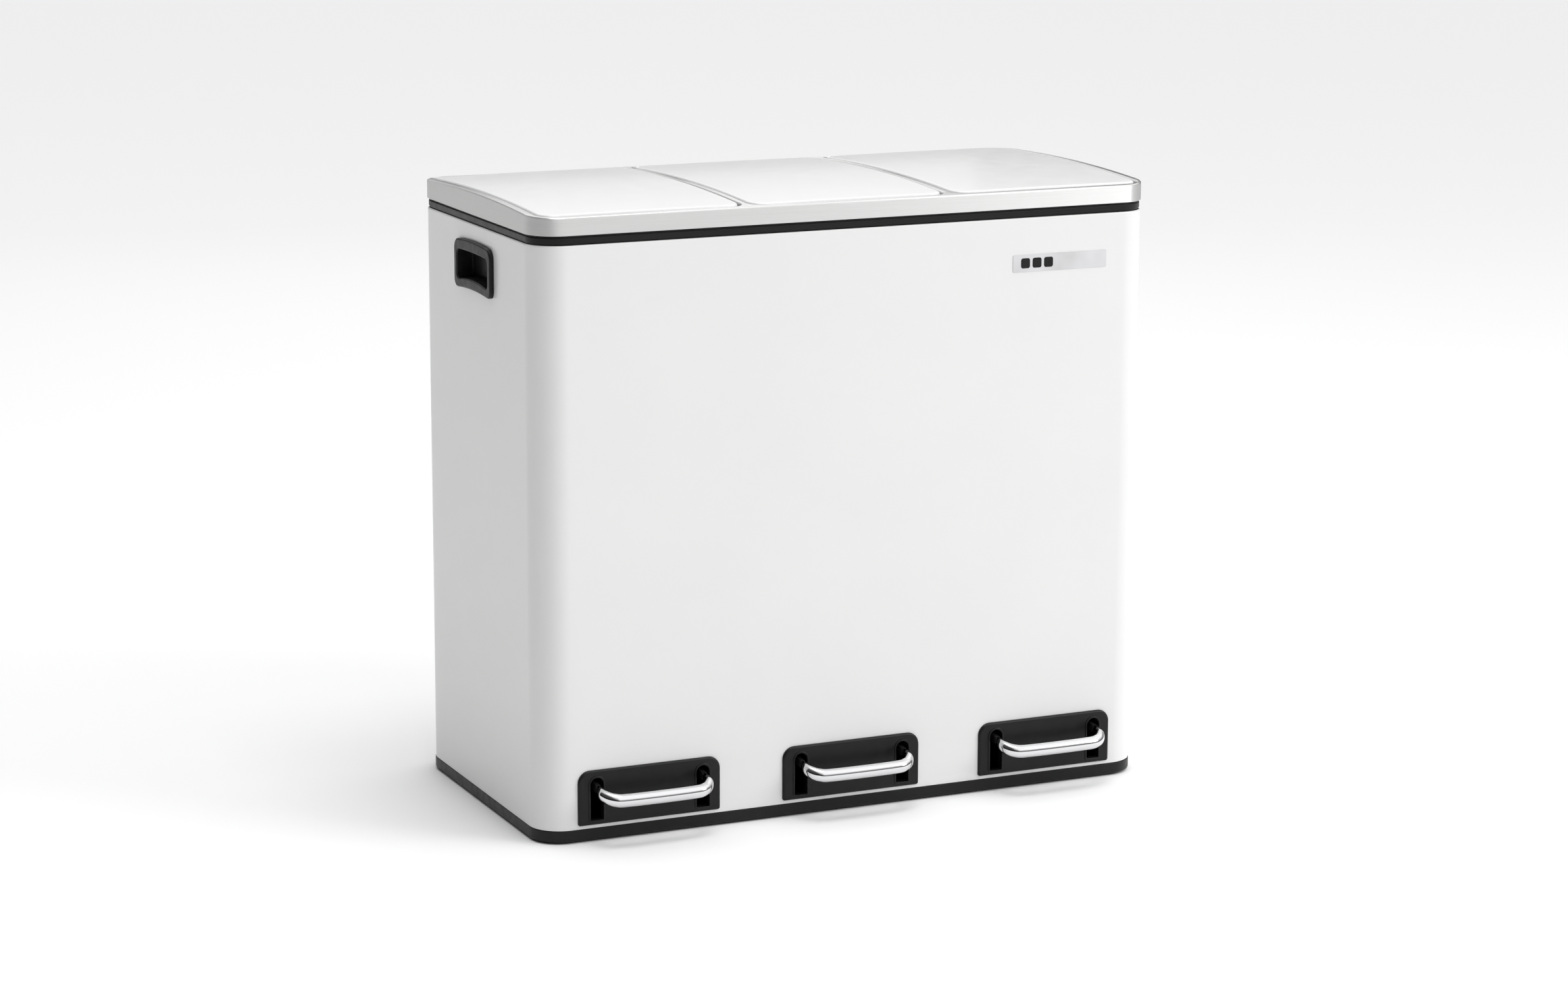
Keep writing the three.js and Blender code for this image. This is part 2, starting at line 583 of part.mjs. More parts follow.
// The lever: two arms in from the slots, a tube on the axle, and a tail under the push rod.
function pedalLever() {
  const tip = [BAR_END + GAP, ARM_Z - 1.5];
  const low = ARM_HEIGHT / 2;
  const arm = polygon([
    [tip[0], tip[1] - 3],
    [FRONT_FACE + 12, ARM_Z - low],
    [PIVOT_Y, PIVOT_Z - 5],
    [PIVOT_Y, PIVOT_Z + 5],
    [FRONT_FACE + 12, ARM_Z + low],
    [tip[0], tip[1] + 3],
  ]);
  const arms = [-SLOT_X, SLOT_X].map((x) => alongX(arm, x - ARM_THICK / 2, x + ARM_THICK / 2));
  const tube = cylinderX(6.5, -SLOT_X - 2, SLOT_X + 2, PIVOT_Y, PIVOT_Z);
  const tail = box(ROD_X - 9, ROD_X + 9, PIVOT_Y, ROD_Y + 9, PIVOT_Z - 4, PIVOT_Z + 1);
  const brace = box(-SLOT_X, SLOT_X, -72, -64, PIVOT_Z - 2, PIVOT_Z + 3);
  const bore = cylinderX(AXLE_RADIUS + RUNNING, -80, 80, PIVOT_Y, PIVOT_Z);
  return cut(join(arms[0], arms[1], tube, tail, brace), bore);
}

const pedalAxle = () => cylinderX(AXLE_RADIUS, -SLOT_X - 13.5, SLOT_X + 13.5, PIVOT_Y, PIVOT_Z);

// ---------------------------------------------------------------- assembly

function cabinet() {
  const group = new THREE.Group();
  group.add(
    part("body_shell", bodyShell(), whitePaint),
    part("base_tray", baseTray(), blackPlastic),
    part("bucket_deck", bucketDeck(), blackPlastic),
    part("collar", collar(), blackPlastic),
    part("top_frame", topFrame(), brushedSteel),
    part("side_grip_left", sideGrip(-1), blackPlastic),
    part("side_grip_right", sideGrip(1), blackPlastic),
    part("badge", badge(), badgePlastic),
  );
  footPlaces().forEach((place, i) => group.add(part(`foot_pad_${i + 1}`, footPad(place), rubber)));
  screwPlaces().forEach((place, i) => group.add(part(`base_screw_${i + 1}`, baseScrew(place), zincSteel)));
  return group;
}

function compartment(side) {
  const group = new THREE.Group();
  group.add(
    part(`lid_shell_${side}`, lidShell(), whitePaint),
    part(`lid_liner_${side}`, lidLiner(), blackPlastic),
    part(`lid_pin_${side}`, lidPin(), zincSteel),
    part(`lid_damper_${side}`, lidDamper(), bucketPlastic),
    part(`lid_bumper_${side}_1`, lidBumper(-1), rubber),
    part(`lid_bumper_${side}_2`, lidBumper(1), rubber),
    part(`bucket_${side}`, bucket(), bucketPlastic),
    part(`push_rod_${side}`, pushRod(), zincSteel),
    part(`rod_guide_${side}`, rodGuide(), bucketPlastic),
    part(`pedal_plate_${side}`, pedalPlate(), blackPlastic),
    part(`pedal_bar_${side}`, pedalBar(), chrome),
    part(`pedal_lever_${side}`, pedalLever(), blackSteel),
    part(`pedal_axle_${side}`, pedalAxle(), zincSteel),
  );
  return group;
}

const bin = new THREE.Group();
bin.add(cabinet());
SIDES.forEach((side, i) => {
  const group = compartment(side);
  group.position.x = COLUMNS[i];
  bin.add(group);
});
bin.position.y = REACH / 2;

export default bin;
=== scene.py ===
"""Studio scene of a free-standing recycling bin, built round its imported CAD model.

Lengths are in millimetres in the cabinet's own frame, which has its middle at x = 0, y = 0 and the
floor at z = 0. at() turns them into metres in the model's frame.
"""

import math

import bmesh
import bpy
from mathutils import Matrix, Vector
from mathutils.geometry import delaunay_2d_cdt


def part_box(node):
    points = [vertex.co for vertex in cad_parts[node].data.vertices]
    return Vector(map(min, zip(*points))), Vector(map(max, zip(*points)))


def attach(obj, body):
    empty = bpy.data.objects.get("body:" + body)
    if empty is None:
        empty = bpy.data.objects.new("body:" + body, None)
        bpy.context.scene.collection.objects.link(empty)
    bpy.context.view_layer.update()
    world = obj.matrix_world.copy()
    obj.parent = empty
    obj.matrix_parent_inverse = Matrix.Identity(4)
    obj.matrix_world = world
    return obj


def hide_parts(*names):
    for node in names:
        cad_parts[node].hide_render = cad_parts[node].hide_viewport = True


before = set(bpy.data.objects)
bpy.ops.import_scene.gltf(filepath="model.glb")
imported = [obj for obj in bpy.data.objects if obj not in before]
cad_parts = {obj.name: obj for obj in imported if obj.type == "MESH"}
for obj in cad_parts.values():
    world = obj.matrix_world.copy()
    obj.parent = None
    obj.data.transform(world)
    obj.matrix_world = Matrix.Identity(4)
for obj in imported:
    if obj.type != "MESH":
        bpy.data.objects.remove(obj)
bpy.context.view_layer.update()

# ------------------------------------------------------------------ dimensions

MM = 0.001
rim_low, rim_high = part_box("top_frame")
MIDDLE_Y = (rim_low.y + rim_high.y) / 2
HALF_X = (rim_high.x - rim_low.x) / 2 / MM
HALF_Y = (rim_high.y - rim_low.y) / 2 / MM
CORNER = 29
CROWN = 4.7  # rise of the frame and the lids, halfway back
RIM_TOP = rim_high.z / MM - CROWN
RIM_BOTTOM = rim_low.z / MM
RIM_EDGE = 1.7  # radius of the rim's outer top edge
BODY_INSET = 0.5
SHEET = 0.8
BODY_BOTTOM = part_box("body_shell")[0].z / MM
BODY_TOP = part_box("body_shell")[1].z / MM
COLLAR_INSET = 1.3
SHELF_TOP = 526
BASE_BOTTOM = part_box("base_tray")[0].z / MM
BASE_TOP = 12
FRONT = -(HALF_Y - BODY_INSET)

SIDES = ("left", "middle", "right")
COLUMN = {"left": -194, "middle": 0, "right": 194}

LID_HALF = 92.2
LID_FRONT = -137.4
LID_BACK = 136
LID_CORNER = 14
LID_EDGE = 2.4
LID_PROUD = 1
LID_SKIRT_BOTTOM = 540.5
BUMPER_Y = -137
BUMPER_X = 70  # this and LUG_X are measured from the middle of a compartment
LUG_X = 72
RIB_X = 97  # the ribs between the lids
RIB_HALF = 142
OPENING_HALF_X = 94
OPENING_HALF_Y = 139.5
OPENING_CORNER = 12
HINGE_Y = 124
HINGE_Z = 538.5
HINGE_PIN = 154

BUCKET_HALF_X = 85
BUCKET_FRONT = -130
BUCKET_BACK = 96
BUCKET_TOP = 519
BUCKET_BOTTOM = 66.8
BUCKET_TAPER = 0.93

PLATE_HALF = 66.75
PLATE_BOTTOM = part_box("pedal_plate_middle")[0].z / MM
PLATE_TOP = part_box("pedal_plate_middle")[1].z / MM
PLATE_FRONT = FRONT - 2.8
PLATE_SPIGOT = PLATE_HALF - 7
SLOT_X = 49.8
SLOT_HALF = 6
SLOT_BOTTOM = 20
SLOT_TOP = 57.7

BAR_Y = -173
BAR_Z = 41.8
BAR_RADIUS = 6
BAR_END = -153
BAR_END_Z = 47.5
AXLE_Y = -20
AXLE_Z = 42
AXLE_LENGTH = 125
POST_X = 58
ROD_Y = 112
ROD_X = 6

GRIP_Z = 483.5
GRIP_HALF = 45
GRIP_HEIGHT = 43
GRIP_ARCH = 2.5

FOOT_HEIGHT = 1.5
FOOT_X = 255
FOOT_Y = 110
SCREW_XS = (-97, 97)
SCREW_YS = (-90, 60)
BADGE_SIDES = (155, 249)
BADGE_HEIGHTS = (473.5, 489)


def at(x, y, z):
    return Vector((x * MM, y * MM + MIDDLE_Y, z * MM))


def crown(y):
    """Height of the arched top over its front and back edges."""
    bend = (HALF_Y**2 + CROWN**2) / (2 * CROWN)
    return math.sqrt(bend**2 - y**2) - (bend - CROWN)


# ------------------------------------------------------------------ outlines


def arc(cx, cy, radius, start, steps):
    """Points of a quarter circle from the angle start, in quarter turns, both ends included."""
    turns = [(start + i / steps) * math.pi / 2 for i in range(steps + 1)]
    return [(cx + radius * math.cos(t), cy + radius * math.sin(t)) for t in turns]


def spaced(a, b, count):
    """count - 1 points between a and b, neither included."""
    return [tuple(a[k] + (b[k] - a[k]) * i / count for k in (0, 1)) for i in range(1, count)]


def rounded(x0, y0, x1, y1, radius, low_radius=None, steps=10, along=(1, 1)):
    """A rectangle with rounded corners, anticlockwise, its sides cut into along pieces."""
    low = radius if low_radius is None else low_radius
    corners = [
        arc(x1 - low, y0 + low, low, 3, steps),
        arc(x1 - radius, y1 - radius, radius, 0, steps),
        arc(x0 + radius, y1 - radius, radius, 1, steps),
        arc(x0 + low, y0 + low, low, 2, steps),
    ]
    points = []
    for i, corner in enumerate(corners):
        after = corners[(i + 1) % 4]
        points += corner + spaced(corner[-1], after[0], along[(i + 1) % 2])
    return points


def arched(half, low, high, low_arch, high_arch, radius, steps=8):
    """An upright shape with straight ends, its lower and upper edges bowed upwards."""

    def bow(u, arch):
        return arch * (1 - (u / half) ** 2)

    flat = rounded(-half, low, half, high, radius, steps=steps, along=(20, 1))
    middle = (low + high) / 2
    return [(u, v + bow(u, high_arch if v > middle else low_arch)) for u, v in flat]


def plan(inset, along=(30, 16), steps=14):
    """The cabinet's outline seen from above, moved in by inset."""
    x, y = HALF_X - inset, HALF_Y - inset
    return rounded(-x, -y, x, y, max(CORNER - inset, 1), steps=steps, along=along)


def quarter(count):
    """(sine, cosine) pairs for rounding an edge through a quarter turn."""
    turns = [i / count * math.pi / 2 for i in range(count + 1)]
    return [(math.sin(turn), math.cos(turn)) for turn in turns]


# ------------------------------------------------------------------ meshes


def bridge(bm, one, other):
    count = len(one)
    for i in range(count):
        j = (i + 1) % count
        bm.faces.new((one[i], one[j], other[j], other[i]))


def inside(point, outline):
    """Whether a 2-D point is inside a closed outline."""
    x, y = point
    hit = False
    for (x0, y0), (x1, y1) in zip(outline, outline[1:] + outline[:1]):
        if (y0 > y) != (y1 > y) and x < (x1 - x0) * (y - y0) / (y1 - y0) + x0:
            hit = not hit
    return hit


def fill(bm, outer, holes, surface=None, grid=0):
    """Triangles between rings of (2-D point, vertex), with extra points of a surface every grid."""
    rings = [outer] + holes
    flat = [Vector(p) for ring in rings for p, _ in ring]
    verts = [v for ring in rings for _, v in ring]
    edges = []
    for ring in rings:
        start = edges[-1][0] + 1 if edges else 0
        edges += [(start + i, start + (i + 1) % len(ring)) for i in range(len(ring))]
    outline = [p for p, _ in outer]
    if surface:
        xs = [p[0] for p in outline]
        ys = [p[1] for p in outline]
        counts = [max(2, round((max(c) - min(c)) / grid)) for c in (xs, ys)]
        for i in range(1, counts[0]):
            for j in range(1, counts[1]):
                u = min(xs) + (max(xs) - min(xs)) * i / counts[0]
                v = min(ys) + (max(ys) - min(ys)) * j / counts[1]
                near = min((u - a) ** 2 + (v - b) ** 2 for a, b in outline)
                if near > (grid / 2) ** 2 and inside((u, v), outline):
                    flat.append(Vector((u, v)))
                    verts.append(bm.verts.new(surface(u, v)))
    faces = delaunay_2d_cdt(flat, edges, [], 1, 1e-6)[2]
    gaps = [[p for p, _ in ring] for ring in holes]
    for face in faces:
        middle = sum((flat[i] for i in face), Vector((0, 0))) / len(face)
        if any(inside(middle, gap) for gap in gaps) or not inside(middle, outline):
            continue
        bm.faces.new([verts[i] for i in face])


def solid(bm, place, outer, holes=(), pockets=(), surface=None, grid=12):
    """A closed solid from rings that run from its front face's edge round to its back face's.

    A ring is (list of 2-D points, depth), the depth a number or a function of the point. Each hole
    is a list of rings too, and a pocket is such a list that ends in a face of its own.
    """

    def lay(rings):
        made = []
        for points, depth in rings:
            deep = depth if callable(depth) else (lambda u, v, d=depth: d)
            made.append([((u, v), bm.verts.new(place(u, v, deep(u, v)))) for u, v in points])
        for one, other in zip(made, made[1:]):
            bridge(bm, [v for _, v in one], [v for _, v in other])
        return made

    shell = lay(outer)
    through = [lay(rings) for rings in holes]
    blind = [lay(rings) for rings in pockets]
    fill(bm, shell[0], [h[0] for h in through + blind], surface, grid)
    fill(bm, shell[-1], [h[-1] for h in through])
    for rings in blind:
        fill(bm, rings[-1], [])


def prism(bm, axis, outline, low, high, bevel=0.4, segments=2):
    """An outline extruded along an axis, with its sharp edges rounded."""
    place = {
        "x": lambda u, v, w: at(w, u, v),
        "y": lambda u, v, w: at(u, w, v),
        "z": lambda u, v, w: at(u, v, w),
    }[axis]
    ends = [[bm.verts.new(place(u, v, w)) for u, v in outline] for w in (low, high)]
    bridge(bm, *ends)
    caps = [bm.faces.new(end) for end in ends]
    if bevel:
        sharp = {edge for cap in caps for edge in cap.edges}
        count = len(outline)
        for i in range(count):
            a = Vector(outline[i]) - Vector(outline[i - 1])
            b = Vector(outline[(i + 1) % count]) - Vector(outline[i])
            if a.angle(b, 0) > math.radians(35):
                sharp.add(bm.edges.get((ends[0][i], ends[1][i])))
        bmesh.ops.recalc_face_normals(bm, faces=bm.faces)
        bmesh.ops.bevel(
            bm,
            geom=list(sharp),
            offset=bevel * MM,
            segments=segments,
            affect="EDGES",
            profile=0.5,
            clamp_overlap=True,
        )


def block(bm, x0, x1, y0, y1, z0, z1, bevel=0.4):
    prism(bm, "z", [(x0, y0), (x1, y0), (x1, y1), (x0, y1)], z0, z1, bevel)


def turned(bm, start, along, profile, sides=32):
    """A round piece: profile is a list of (distance along, radius), closed at both ends."""
    axis = Vector(along).normalized()
    across = axis.orthogonal().normalized()
    other = axis.cross(across)
    rings = []
    for distance, radius in profile:
        middle = Vector(start) + axis * distance
        ring = []
        for i in range(sides):
            turn = 2 * math.pi * i / sides
            spot = middle + across * radius * math.cos(turn) + other * radius * math.sin(turn)
            ring.append(bm.verts.new(at(*spot)))
        rings.append(ring)
    for one, two in zip(rings, rings[1:]):
        bridge(bm, one, two)
    bm.faces.new(rings[0])
    bm.faces.new(rings[-1])


def pin(bm, start, along, length, radius, chamfer=0.4, sides=32):
    ends = [(0, radius - chamfer), (chamfer, radius), (length - chamfer, radius), (length, radius - chamfer)]
    turned(bm, start, along, ends, sides)


def piece(name, bm, material, body, replaces=(), smooth=32, weld=0.0005):
    """Turns the mesh into a piece of the model that rides on a body."""
    bmesh.ops.remove_doubles(bm, verts=bm.verts, dist=weld * MM)
    bmesh.ops.recalc_face_normals(bm, faces=bm.faces)
    mesh = bpy.data.meshes.new(name)
    bm.to_mesh(mesh)
    bm.free()
    mesh.shade_smooth()
    mesh.set_sharp_from_angle(angle=math.radians(smooth))
    obj = bpy.data.objects.new(name, mesh)
    bpy.context.scene.collection.objects.link(obj)
    weighted = obj.modifiers.new("even_shading", "WEIGHTED_NORMAL")
    weighted.keep_sharp = True
    mesh.materials.append(material)
    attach(obj, body)
    if replaces:
        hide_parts(*replaces)
    return obj


# ------------------------------------------------------------------ materials


class Nodes:
    """A material's node tree, with short ways to add what the finishes share."""

    def __init__(self, name, color, roughness, metallic=0.0):
        self.material = bpy.data.materials.new(name)
        self.material.use_nodes = True
        self.tree = self.material.node_tree
        self.shader = self.tree.nodes["Principled BSDF"]
        self.shader.inputs["Base Color"].default_value = (*color, 1)
        self.shader.inputs["Roughness"].default_value = roughness
        self.shader.inputs["Metallic"].default_value = metallic
        self.place = self.tree.nodes.new("ShaderNodeTexCoord").outputs["Object"]

    def add(self, kind, **values):
        node = self.tree.nodes.new(kind)
        for name, value in values.items():
            if name in node.inputs:
                node.inputs[name].default_value = value
            else:
                setattr(node, name, value)
        return node

    def link(self, source, target):
        self.tree.links.new(source, target)

    def noise(self, scale, stretch=(1, 1, 1), detail=3, rough=0.5):
        """Noise of the given scale per metre; stretch squeezes it along each axis."""
        mapping = self.add("ShaderNodeMapping", Scale=stretch)
        self.link(self.place, mapping.inputs["Vector"])
        noise = self.add("ShaderNodeTexNoise", Scale=scale, Detail=detail, Roughness=rough)
        self.link(mapping.outputs["Vector"], noise.inputs["Vector"])
        return noise.outputs["Fac"]

    def ramp(self, value, low, high, start=0.3, end=0.7):
        """Carries value from start..end to low..high."""
        node = self.add("ShaderNodeMapRange")
        for name, number in (("From Min", start), ("From Max", end), ("To Min", low), ("To Max", high)):
            node.inputs[name].default_value = number
        self.link(value, node.inputs["Value"])
        return node.outputs["Result"]

    def rough(self, value, low, high):
        self.link(self.ramp(value, low, high), self.shader.inputs["Roughness"])

    def tint(self, value, dark, light):
        """Blends between two colours."""
        mix = self.add("ShaderNodeMix", data_type="RGBA")
        colors = [s for s in mix.inputs if s.type == "RGBA"]
        colors[0].default_value = (*dark, 1)
        colors[1].default_value = (*light, 1)
        self.link(self.ramp(value, 0, 1), mix.inputs["Factor"])
        result = [s for s in mix.outputs if s.type == "RGBA"][0]
        self.link(result, self.shader.inputs["Base Color"])

    def bump(self, heights):
        """Adds bumps in turn: (height, depth in millimetres)."""
        last = None
        for height, depth in heights:
            node = self.add("ShaderNodeBump", Strength=1.0, Distance=depth * MM)
            self.link(height, node.inputs["Height"])
            if last:
                self.link(last, node.inputs["Normal"])
            last = node.outputs["Normal"]
        self.link(last, self.shader.inputs["Normal"])


def painted_steel(name, shade):
    """Satin powder coat: a faint orange peel over a slow waviness of the sheet."""
    finish = Nodes(name, (shade, shade, shade * 0.995), 0.34)
    finish.tint(finish.noise(9, detail=2), (shade * 0.985,) * 3, (shade, shade, shade * 0.997))
    finish.rough(finish.noise(60), 0.3, 0.38)
    finish.bump([(finish.noise(900, detail=2), 0.005), (finish.noise(5, detail=1), 0.05)])
    finish.shader.inputs["Coat Weight"].default_value = 0.45
    finish.shader.inputs["Coat Roughness"].default_value = 0.14
    return finish.material


def brushed_steel():
    """Steel brushed round its band: fine level streaks on the upright faces, lengthwise ones on top.

    The upright band spreads what it mirrors up and down, as brushing does; the flange is smoother.
    """
    finish = Nodes("brushed_steel", (0.7, 0.7, 0.7), 0.45, 1)
    level = finish.noise(1, (14, 14, 5200), detail=4, rough=0.6)
    lengthwise = finish.noise(1, (14, 5200, 14), detail=4, rough=0.6)
    normal = finish.add("ShaderNodeNewGeometry").outputs["Normal"]
    split = finish.add("ShaderNodeSeparateXYZ")
    finish.link(normal, split.inputs["Vector"])
    upward = finish.ramp(split.outputs["Z"], 0, 1, 0.5, 0.8)

    def choose(upright, flat):
        blend = finish.add("ShaderNodeMix", data_type="FLOAT")
        for socket, value in zip((0, 2, 3), (upward, upright, flat)):
            finish.link(value, blend.inputs[socket])
        return blend.outputs[0]

    streaks = choose(level, lengthwise)
    finish.tint(streaks, (0.68, 0.68, 0.675), (0.78, 0.78, 0.775))
    roughness = choose(finish.ramp(streaks, 0.4, 0.5), finish.ramp(streaks, 0.2, 0.3))
    finish.link(roughness, finish.shader.inputs["Roughness"])
    finish.bump([(streaks, 0.006)])
    tangent = finish.add("ShaderNodeTangent", direction_type="RADIAL", axis="Z")
    finish.link(tangent.outputs["Tangent"], finish.shader.inputs["Tangent"])
    finish.shader.inputs["Anisotropic"].default_value = 0.93
    finish.shader.inputs["Anisotropic Rotation"].default_value = 0.25
    return finish.material


def moulded_plastic(name, shade, grain=0.02, rough=(0.42, 0.56), scale=1500, shine=0.5):
    """Spark-eroded moulding texture with a slow change of gloss."""
    finish = Nodes(name, (shade, shade, shade * 1.04), rough[0])
    finish.shader.inputs["Specular IOR Level"].default_value = shine
    finish.tint(finish.noise(25, detail=2), (shade * 0.85,) * 3, (shade * 1.12, shade * 1.12, shade * 1.16))
    finish.rough(finish.noise(140), *rough)
    finish.bump([(finish.noise(scale, detail=3, rough=0.65), grain)])
    return finish.material


def chrome():
    """Bright plating with the slight waviness of the bar under it."""
    finish = Nodes("chrome", (0.72, 0.72, 0.73), 0.06, 1)
    finish.rough(finish.noise(70), 0.04, 0.09)
    finish.bump([(finish.noise(30, detail=1), 0.03)])
    return finish.material


def zinc_plate():
    """Dull zinc plating, cloudy and a little streaked."""
    finish = Nodes("zinc_plate", (0.42, 0.43, 0.44), 0.4, 1)
    finish.tint(finish.noise(90), (0.33, 0.34, 0.35), (0.5, 0.51, 0.52))
    finish.rough(finish.noise(260), 0.32, 0.5)
    finish.bump([(finish.noise(700), 0.008)])
    return finish.material


def black_paint():
    """Thin black paint on a stamped lever, a little uneven."""
    finish = Nodes("black_paint", (0.01, 0.01, 0.01), 0.45)
    finish.shader.inputs["Specular IOR Level"].default_value = 0.3
    finish.tint(finish.noise(60), (0.006, 0.006, 0.006), (0.014, 0.014, 0.014))
    finish.rough(finish.noise(300), 0.38, 0.55)
    finish.bump([(finish.noise(900), 0.008)])
    return finish.material


def rubber():
    finish = Nodes("rubber", (0.014, 0.014, 0.014), 0.85)
    finish.rough(finish.noise(400), 0.75, 0.95)
    finish.bump([(finish.noise(1100), 0.03)])
    return finish.material


WHITE = painted_steel("white_paint", 0.79)
STEEL = brushed_steel()
BLACK = moulded_plastic("black_plastic", 0.007, rough=(0.34, 0.46), shine=0.26)
COLLAR_BLACK = moulded_plastic("collar_plastic", 0.007, rough=(0.3, 0.4), shine=0.25)
BUCKET = moulded_plastic("bucket_plastic", 0.032, grain=0.03, rough=(0.5, 0.65), scale=1100)
BADGE = moulded_plastic("badge_plastic", 0.66, grain=0.003, rough=(0.3, 0.4))
CHROME = chrome()
ZINC = zinc_plate()
BLACK_STEEL = black_paint()
RUBBER = rubber()


# ------------------------------------------------------------------ cabinet


def body_wall():
    """The painted wall: four flat sides joined by round corners, with its windows left open."""
    bm = bmesh.new()
    x, y, low, high = HALF_X - BODY_INSET, HALF_Y - BODY_INSET, BODY_BOTTOM, BODY_TOP
    radius = CORNER - BODY_INSET
    window = [
        rounded(c - PLATE_SPIGOT, PLATE_BOTTOM + 3.5, c + PLATE_SPIGOT, PLATE_TOP - 4, 6, 1, steps=4)
        for c in COLUMN.values()
    ]
    grip = arched(GRIP_HALF - 3.5, GRIP_Z - 18, GRIP_Z + 18, GRIP_ARCH, GRIP_ARCH, 6)
    top = high - 1.4
    roll = [(1.4 * (1 - c), top + 1.4 * s) for s, c in quarter(5)]
    for place, half, holes in (
        (lambda u, v: at(u, -y, v), x - radius, window),
        (lambda u, v: at(-u, y, v), x - radius, []),
        (lambda u, v: at(x, u, v), y - radius, [grip]),
        (lambda u, v: at(-x, -u, v), y - radius, [grip]),
    ):
        outline = [(-half, low), (half, low), (half, top), (-half, top)]
        rings = [[(p, bm.verts.new(place(*p))) for p in ring] for ring in [outline] + holes]
        fill(bm, rings[0], rings[1:])
    steps = 18
    for sx, sy, start in ((1, 1, 0), (-1, 1, 1), (-1, -1, 2), (1, -1, 3)):
        points = arc(sx * (x - radius), sy * (y - radius), radius, start, steps)
        levels = [[bm.verts.new(at(*p, z)) for p in points] for z in (low, top)]
        for i in range(steps):
            bm.faces.new((levels[0][i], levels[0][i + 1], levels[1][i + 1], levels[1][i]))
    edges = [[bm.verts.new(at(*p, z)) for p in plan(BODY_INSET + inset, (1, 1), steps)] for inset, z in roll]
    for one, other in zip(edges, edges[1:]):
        bridge(bm, one, other)
    obj = piece("body_wall", bm, WHITE, "cabinet", ["body_shell"])
    sheet = obj.modifiers.new("sheet", "SOLIDIFY")
    sheet.thickness = SHEET * MM
    sheet.offset = -1
    obj.modifiers.move(1, 0)


def rear_seam():
    """The folded seam that closes the wrapped wall, halfway along the back."""
    bm = bmesh.new()
    outline = [(-5, 0), (5, 0), (4.4, 0.45), (-4.4, 0.45)]
    prism(bm, "z", [(u, -FRONT + v) for u, v in outline], BODY_BOTTOM + 1, BODY_TOP - 1, 0.15)
    piece("rear_seam", bm, WHITE, "cabinet")


def top_rim():
    """The steel frame: an upright band rolled over into a narrow arched flange round three openings."""
    bm = bmesh.new()

    def arched_at(drop):
        return lambda u, v: RIM_TOP + crown(v) - drop

    rounding = quarter(6)
    outer = [(plan(RIM_EDGE * (1 - s)), arched_at(RIM_EDGE * (1 - c))) for s, c in rounding]
    outer += [
        (plan(0), RIM_BOTTOM + 0.3),
        (plan(0.3), RIM_BOTTOM),
        (plan(0.8), RIM_BOTTOM),
        (plan(1), RIM_BOTTOM + 0.3),
        (plan(1), arched_at(RIM_EDGE + 0.4)),
        (plan(RIM_EDGE), arched_at(1)),
    ]

    def opening(middle, grow):
        x, y = OPENING_HALF_X + grow, OPENING_HALF_Y + grow
        return rounded(middle - x, -y, middle + x, y, OPENING_CORNER + grow, along=(12, 16))

    edge, roll = 1.1, 1.8
    holes = []
    for middle in COLUMN.values():
        rings = [(opening(middle, edge * (1 - s)), arched_at(roll * (1 - c))) for s, c in quarter(4)]
        rings += [
            (opening(middle, 0), arched_at(3.4)),
            (opening(middle, 0.25), arched_at(3.7)),
            (opening(middle, 0.6), arched_at(3.7)),
            (opening(middle, 0.8), arched_at(3.4)),
            (opening(middle, 0.8), arched_at(1)),
        ]
        holes.append(rings)
    solid(bm, at, outer, holes)
    piece("top_rim", bm, STEEL, "cabinet", ["top_frame"])


def collar():
    """The black band under the rim, with the shelf, the ribs and the hinge lugs inside it."""
    bm = bmesh.new()
    wall = 4.4
    top = RIM_BOTTOM - 0.3
    bottom = BODY_TOP + 0.3
    groove, bead = 1.3, 0.6
    outer = [
        (plan(wall), SHELF_TOP),
        (plan(wall), top),
        (plan(COLLAR_INSET + groove), top),
        (plan(COLLAR_INSET + groove), top - 1.6),
    ]
    outer += [(plan(COLLAR_INSET + bead * (1 - s)), top - 1.6 - bead * (1 - c)) for s, c in quarter(3)]
    outer += [(plan(COLLAR_INSET + bead * (1 - c)), bottom + 1.1 + bead * (1 - s)) for s, c in quarter(3)]
    outer += [
        (plan(COLLAR_INSET + groove), bottom + 1.1),
        (plan(COLLAR_INSET + groove), bottom),
        (plan(wall), bottom),
    ]
    holes = []
    slots = []
    for middle in COLUMN.values():
        x = BUCKET_HALF_X + 3

        def opening(grow, middle=middle, x=x):
            low, high = BUCKET_FRONT - 3 - grow, BUCKET_BACK + 3 + grow
            return rounded(middle - x - grow, low, middle + x + grow, high, 18 + grow, steps=6)

        edge = [(opening(1 - s), SHELF_TOP - 1 + c) for s, c in quarter(3)]
        holes.append(edge + [(opening(0), bottom + 0.4), (opening(0.4), bottom)])
        slot = rounded(middle - 4, ROD_Y - 7, middle + 11, ROD_Y + 7, 2, steps=3)
        slots.append([(slot, SHELF_TOP), (slot, bottom)])
    solid(bm, at, outer, holes + slots)
    for x in (-RIB_X, RIB_X):
        ys = [-RIB_HALF + 2 * RIB_HALF * i / 24 for i in range(25)]
        rib = [(-RIB_HALF, SHELF_TOP - 1), (RIB_HALF, SHELF_TOP - 1)]
        rib += [(y, RIM_TOP + crown(y) - 1.5) for y in reversed(ys)]
        prism(bm, "x", rib, x - 2.2, x + 2.2, 0.5)
    for middle in COLUMN.values():
        for side in (-LUG_X, LUG_X):
            head = [(HINGE_Y + 5 * math.cos(t), HINGE_Z + 5 * math.sin(t)) for t in half_turn()]
            lug = [(HINGE_Y - 8, SHELF_TOP - 1), (HINGE_Y + 2, SHELF_TOP - 1)] + head
            prism(bm, "x", lug, middle + side - 3, middle + side + 3, 0.4)
    piece("collar_band", bm, COLLAR_BLACK, "cabinet", ["collar"])


